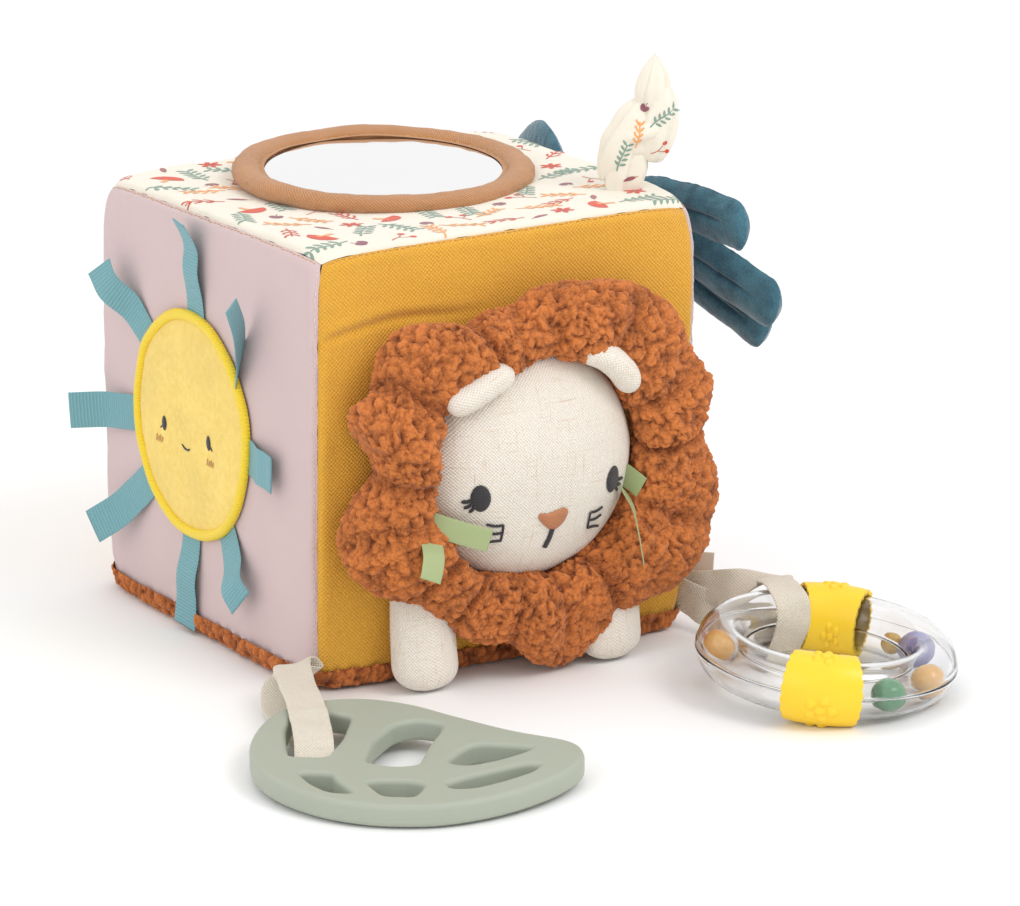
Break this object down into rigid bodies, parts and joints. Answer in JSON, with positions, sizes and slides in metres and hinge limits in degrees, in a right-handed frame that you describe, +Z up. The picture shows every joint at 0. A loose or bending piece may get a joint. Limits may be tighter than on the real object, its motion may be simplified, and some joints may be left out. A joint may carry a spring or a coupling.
{
  "type": "baby activity cube",
  "caption": "Soft fabric activity cube with a lion head, a ribbon-rayed sun, a padded mirror, plush palm leaves, a leaf teether and a ring rattle on tape loops.",
  "frame": {"origin": "centre of the cube's underside, on the surface it stands on", "axes": "+Z up, -Y towards the front with the lion's head, -X towards the face with the sun, +X towards the face with the palm"},
  "size_m": [0.2391, 0.2752, 0.1853],
  "materials": {
    "bead_green": "gloss",
    "bead_orange_left": "gloss",
    "bead_orange_right": "gloss",
    "bead_purple": "gloss",
    "bead_yellow_small": "gloss",
    "care_label": "satin",
    "cheek_ribbon_left_lower": "satin ribbon",
    "cheek_ribbon_left_upper": "satin ribbon",
    "cheek_ribbon_right_lower": "satin ribbon",
    "cheek_ribbon_right_upper": "satin ribbon",
    "foam_core": "open-cell foam",
    "foam_plug": "open-cell foam",
    "head_filling": "polyester filling",
    "knot_tag": "linen weave",
    "leaf_teether": "moulded silicone",
    "lion_ear_left": "linen weave, natural",
    "lion_ear_right": "linen weave, natural",
    "lion_face_stitches": "embroidery thread",
    "lion_head": "linen weave, natural",
    "lion_mane": "sherpa pile, rust",
    "lion_nose": "embroidery thread",
    "lion_paw_left": "linen weave",
    "lion_paw_right": "linen weave",
    "mirror_backing": "felt",
    "mirror_ring_cover": "ribbed jersey, camel",
    "mirror_ring_filler": "polyester filling",
    "mirror_sheet": "acrylic mirror",
    "palm_leaf_back_lower": "plush velvet, teal",
    "palm_leaf_back_upper": "plush velvet, teal",
    "palm_leaf_front_lower": "plush velvet, teal",
    "palm_leaf_front_middle": "plush velvet, teal",
    "palm_leaf_front_upper": "plush velvet, teal",
    "palm_trunk": "brushed fleece",
    "panel_back": "coarse linen weave, mustard",
    "panel_bottom": "sherpa pile, rust",
    "panel_front": "coarse linen weave, mustard",
    "panel_left": "plain cotton, mauve",
    "panel_right": "plain cotton, mauve",
    "panel_top": "printed cotton",
    "rattle_capsule_lower": "satin",
    "rattle_capsule_upper": "satin",
    "rattle_pellets": "satin",
    "rattle_strap": "woven cotton tape",
    "ring_shell_lower": "clear plastic",
    "ring_shell_upper": "clear plastic",
    "ring_sleeve_far": "soft moulded rubber",
    "ring_sleeve_near": "soft moulded rubber",
    "squeaker": "satin",
    "sun_border": "satin stitch",
    "sun_disc": "short fleece",
    "sun_face_stitches": "embroidery thread",
    "sun_ray_back": "grosgrain ribbon",
    "sun_ray_back_lower": "grosgrain ribbon",
    "sun_ray_back_upper": "grosgrain ribbon",
    "sun_ray_bottom": "grosgrain ribbon",
    "sun_ray_front": "grosgrain ribbon",
    "sun_ray_front_lower": "grosgrain ribbon",
    "sun_ray_front_upper": "grosgrain ribbon",
    "sun_ray_top": "grosgrain ribbon",
    "teether_strap": "woven cotton tape"
  },
  "bodies": {
    "cube": {"foam_core": "foam_core", "foam_plug": "foam_plug", "head_filling": "head_filling", "lion_ear_left": "lion_ear_left", "lion_ear_right": "lion_ear_right", "lion_face_stitches": "lion_face_stitches", "lion_head": "lion_head", "lion_mane": "lion_mane", "lion_nose": "lion_nose", "mirror_backing": "mirror_backing", "mirror_ring_cover": "mirror_ring_cover", "mirror_ring_filler": "mirror_ring_filler", "mirror_sheet": "mirror_sheet", "palm_trunk": "palm_trunk", "panel_back": "panel_back", "panel_bottom": "panel_bottom", "panel_front": "panel_front", "panel_left": "panel_left", "panel_right": "panel_right", "panel_top": "panel_top", "rattle_capsule_lower": "rattle_capsule_lower", "rattle_capsule_upper": "rattle_capsule_upper", "squeaker": "squeaker", "sun_border": "sun_border", "sun_disc": "sun_disc", "sun_face_stitches": "sun_face_stitches"},
    "sun_ray_top": {"sun_ray_top": "sun_ray_top"},
    "sun_ray_back_upper": {"sun_ray_back_upper": "sun_ray_back_upper"},
    "sun_ray_back": {"sun_ray_back": "sun_ray_back"},
    "sun_ray_back_lower": {"sun_ray_back_lower": "sun_ray_back_lower"},
    "sun_ray_bottom": {"sun_ray_bottom": "sun_ray_bottom"},
    "sun_ray_front_lower": {"sun_ray_front_lower": "sun_ray_front_lower"},
    "sun_ray_front": {"sun_ray_front": "sun_ray_front"},
    "sun_ray_front_upper": {"sun_ray_front_upper": "sun_ray_front_upper"},
    "cheek_ribbon_left_upper": {"cheek_ribbon_left_upper": "cheek_ribbon_left_upper"},
    "cheek_ribbon_left_lower": {"cheek_ribbon_left_lower": "cheek_ribbon_left_lower"},
    "cheek_ribbon_right_upper": {"cheek_ribbon_right_upper": "cheek_ribbon_right_upper"},
    "cheek_ribbon_right_lower": {"cheek_ribbon_right_lower": "cheek_ribbon_right_lower"},
    "lion_paw_left": {"lion_paw_left": "lion_paw_left"},
    "lion_paw_right": {"lion_paw_right": "lion_paw_right"},
    "palm_leaf_front_upper": {"palm_leaf_front_upper": "palm_leaf_front_upper"},
    "palm_leaf_front_middle": {"palm_leaf_front_middle": "palm_leaf_front_middle"},
    "palm_leaf_front_lower": {"palm_leaf_front_lower": "palm_leaf_front_lower"},
    "palm_leaf_back_upper": {"palm_leaf_back_upper": "palm_leaf_back_upper"},
    "palm_leaf_back_lower": {"palm_leaf_back_lower": "palm_leaf_back_lower"},
    "knot_tag": {"knot_tag": "knot_tag"},
    "care_label": {"care_label": "care_label"},
    "teether_strap": {"teether_strap": "teether_strap"},
    "leaf_teether": {"leaf_teether": "leaf_teether"},
    "rattle_strap": {"rattle_strap": "rattle_strap"},
    "ring_rattle": {"ring_shell_upper": "ring_shell_upper", "ring_shell_lower": "ring_shell_lower"},
    "ring_sleeve_far": {"ring_sleeve_far": "ring_sleeve_far"},
    "ring_sleeve_near": {"ring_sleeve_near": "ring_sleeve_near"},
    "bead_orange_left": {"bead_orange_left": "bead_orange_left"},
    "bead_purple": {"bead_purple": "bead_purple"},
    "bead_yellow_small": {"bead_yellow_small": "bead_yellow_small"},
    "bead_orange_right": {"bead_orange_right": "bead_orange_right"},
    "bead_green": {"bead_green": "bead_green"},
    "rattle_pellets": {"rattle_pellets": "rattle_pellets"}
  },
  "joints": [
    {"name": "sun_ray_top_bend", "type": "hinge", "parent": "cube", "child": "sun_ray_top", "pos_m": [-0.071, 0.00359, 0.10935], "axis": [0, -0.9986, -0.0523], "range_deg": [-7.5, 50], "stiffness_Nm_per_rad": 0.001},
    {"name": "sun_ray_back_upper_bend", "type": "hinge", "parent": "cube", "child": "sun_ray_back_upper", "pos_m": [-0.071, 0.03594, 0.0946], "axis": [0, -0.6157, 0.788], "range_deg": [-12.48, 50], "stiffness_Nm_per_rad": 0.001},
    {"name": "sun_ray_back_bend", "type": "hinge", "parent": "cube", "child": "sun_ray_back", "pos_m": [-0.071, 0.04381, 0.06621], "axis": [0, 0.1219, 0.9925], "range_deg": [-18.92, 50], "stiffness_Nm_per_rad": 0.001},
    {"name": "sun_ray_back_lower_bend", "type": "hinge", "parent": "cube", "child": "sun_ray_back_lower", "pos_m": [-0.071, 0.03509, 0.04615], "axis": [0, 0.6428, 0.766], "range_deg": [-13.11, 50], "stiffness_Nm_per_rad": 0.001},
    {"name": "sun_ray_bottom_bend", "type": "hinge", "parent": "cube", "child": "sun_ray_bottom", "pos_m": [-0.071, 0.00895, 0.03255], "axis": [0, 0.9962, 0.0872], "range_deg": [-1.87, 50], "stiffness_Nm_per_rad": 0.001},
    {"name": "sun_ray_front_lower_bend", "type": "hinge", "parent": "cube", "child": "sun_ray_front_lower", "pos_m": [-0.071, -0.01648, 0.03936], "axis": [0, 0.8192, -0.5736], "range_deg": [-9.91, 50], "stiffness_Nm_per_rad": 0.001},
    {"name": "sun_ray_front_bend", "type": "hinge", "parent": "cube", "child": "sun_ray_front", "pos_m": [-0.071, -0.03269, 0.06688], "axis": [0, 0.1045, -0.9945], "range_deg": [-6.16, 50], "stiffness_Nm_per_rad": 0.001},
    {"name": "sun_ray_front_upper_bend", "type": "hinge", "parent": "cube", "child": "sun_ray_front_upper", "pos_m": [-0.071, -0.02016, 0.09951], "axis": [0, -0.7431, -0.6691], "range_deg": [-12.69, 50], "stiffness_Nm_per_rad": 0.001},
    {"name": "cheek_ribbon_left_upper_bend", "type": "hinge", "parent": "cube", "child": "cheek_ribbon_left_upper", "pos_m": [-0.0344, -0.091, 0.057], "axis": [-0.3304, 0, -0.9439], "range_deg": [0, 40], "stiffness_Nm_per_rad": 0.00005},
    {"name": "cheek_ribbon_left_lower_bend", "type": "hinge", "parent": "cube", "child": "cheek_ribbon_left_lower", "pos_m": [-0.0385, -0.0964, 0.05], "axis": [-0.9806, 0, 0.1961], "range_deg": [0, 40], "stiffness_Nm_per_rad": 0.00005},
    {"name": "cheek_ribbon_right_upper_bend", "type": "hinge", "parent": "cube", "child": "cheek_ribbon_right_upper", "pos_m": [0.036, -0.092, 0.0645], "axis": [-0.3714, 0, -0.9285], "range_deg": [0, 40], "stiffness_Nm_per_rad": 0.00005},
    {"name": "cheek_ribbon_right_lower_bend", "type": "hinge", "parent": "cube", "child": "cheek_ribbon_right_lower", "pos_m": [0.0375, -0.0986, 0.053], "axis": [-0.3489, 0.9371, 0], "range_deg": [0, 30], "stiffness_Nm_per_rad": 0.00005},
    {"name": "lion_paw_left_lift", "type": "hinge", "parent": "cube", "child": "lion_paw_left", "pos_m": [-0.036, -0.0708, 0.027], "axis": [-1, 0, 0], "range_deg": [0, 6.5], "stiffness_Nm_per_rad": 0.01},
    {"name": "lion_paw_right_lift", "type": "hinge", "parent": "cube", "child": "lion_paw_right", "pos_m": [0.033, -0.0708, 0.027], "axis": [-1, 0, 0], "range_deg": [0, 6.5], "stiffness_Nm_per_rad": 0.01},
    {"name": "palm_leaf_front_upper_bend", "type": "hinge", "parent": "cube", "child": "palm_leaf_front_upper", "pos_m": [0.074, 0.012, 0.131], "axis": [0, 0, 1], "range_deg": [-4.5, 45], "stiffness_Nm_per_rad": 0.01},
    {"name": "palm_leaf_front_middle_bend", "type": "hinge", "parent": "cube", "child": "palm_leaf_front_middle", "pos_m": [0.074, 0.012, 0.131], "axis": [0, 0, 1], "range_deg": [-8.2, 45], "stiffness_Nm_per_rad": 0.01},
    {"name": "palm_leaf_front_lower_bend", "type": "hinge", "parent": "cube", "child": "palm_leaf_front_lower", "pos_m": [0.074, 0.012, 0.131], "axis": [0, 0, 1], "range_deg": [-11.8, 45], "stiffness_Nm_per_rad": 0.01},
    {"name": "palm_leaf_back_upper_bend", "type": "hinge", "parent": "cube", "child": "palm_leaf_back_upper", "pos_m": [0.074, 0.012, 0.131], "axis": [0, 0, -1], "range_deg": [-7.5, 45], "stiffness_Nm_per_rad": 0.01},
    {"name": "palm_leaf_back_lower_bend", "type": "hinge", "parent": "cube", "child": "palm_leaf_back_lower", "pos_m": [0.074, 0.012, 0.131], "axis": [0, 0, -1], "range_deg": [-9.5, 45], "stiffness_Nm_per_rad": 0.01},
    {"name": "knot_tag_bend", "type": "hinge", "parent": "cube", "child": "knot_tag", "pos_m": [0.06, -0.044, 0.141], "axis": [1, 0, 0], "range_deg": [-12, 12], "stiffness_Nm_per_rad": 0.03},
    {"name": "care_label_bend", "type": "hinge", "parent": "cube", "child": "care_label", "pos_m": [0.0689, -0.0629, 0.0203], "axis": [0, 0, 1], "range_deg": [-5, 30], "stiffness_Nm_per_rad": 0.00005},
    {"name": "teether_strap_swing", "type": "hinge", "parent": "cube", "child": "teether_strap", "pos_m": [-0.06653, -0.07061, 0.0085], "axis": [-0.8517, 0.524, 0], "range_deg": [-60, 40]},
    {"name": "leaf_teether_tilt", "type": "hinge", "parent": "teether_strap", "child": "leaf_teether", "pos_m": [-0.08854, -0.10639, 0.0073], "axis": [-0.8517, 0.524, 0], "range_deg": [-9, 9]},
    {"name": "rattle_strap_swing", "type": "hinge", "parent": "cube", "child": "rattle_strap", "pos_m": [0.06805, -0.06805, 0.01492], "axis": [-0.9617, -0.2742, 0], "range_deg": [-50, 15]},
    {"name": "ring_rattle_tilt", "type": "hinge", "parent": "rattle_strap", "child": "ring_rattle", "pos_m": [0.07606, -0.11138, 0.01425], "axis": [-0.9892, 0.132, 0.0639], "range_deg": [-25, 20]},
    {"name": "ring_sleeve_far_slip", "type": "hinge", "parent": "ring_rattle", "child": "ring_sleeve_far", "pos_m": [0.0715, -0.1445, 0.0121], "axis": [0.0547, -0.0722, 0.9959], "range_deg": [-60, 0]},
    {"name": "ring_sleeve_near_slip", "type": "hinge", "parent": "ring_rattle", "child": "ring_sleeve_near", "pos_m": [0.0715, -0.1445, 0.0121], "axis": [0.0547, -0.0722, 0.9959], "range_deg": [-110, 40]},
    {"name": "bead_orange_left_roll", "type": "hinge", "parent": "ring_rattle", "child": "bead_orange_left", "pos_m": [0.0715, -0.1445, 0.0121], "axis": [0.0547, -0.0722, 0.9959], "range_deg": [-30, 25]},
    {"name": "bead_purple_roll", "type": "hinge", "parent": "ring_rattle", "child": "bead_purple", "pos_m": [0.0715, -0.1445, 0.0121], "axis": [0.0547, -0.0722, 0.9959], "range_deg": [-12, 0]},
    {"name": "bead_yellow_small_roll", "type": "hinge", "parent": "ring_rattle", "child": "bead_yellow_small", "pos_m": [0.0715, -0.1445, 0.0121], "axis": [0.0547, -0.0722, 0.9959], "range_deg": [0, 40]},
    {"name": "bead_orange_right_roll", "type": "hinge", "parent": "ring_rattle", "child": "bead_orange_right", "pos_m": [0.0715, -0.1445, 0.0121], "axis": [0.0547, -0.0722, 0.9959], "range_deg": [-12, 15]},
    {"name": "bead_green_roll", "type": "hinge", "parent": "ring_rattle", "child": "bead_green", "pos_m": [0.0715, -0.1445, 0.0121], "axis": [0.0547, -0.0722, 0.9959], "range_deg": [-30, 2]},
    {"name": "rattle_pellets_roll", "type": "hinge", "parent": "cube", "child": "rattle_pellets", "pos_m": [0, 0, 0.07], "axis": [0, 1, 0], "range_deg": [-60, 60]}
  ]
}
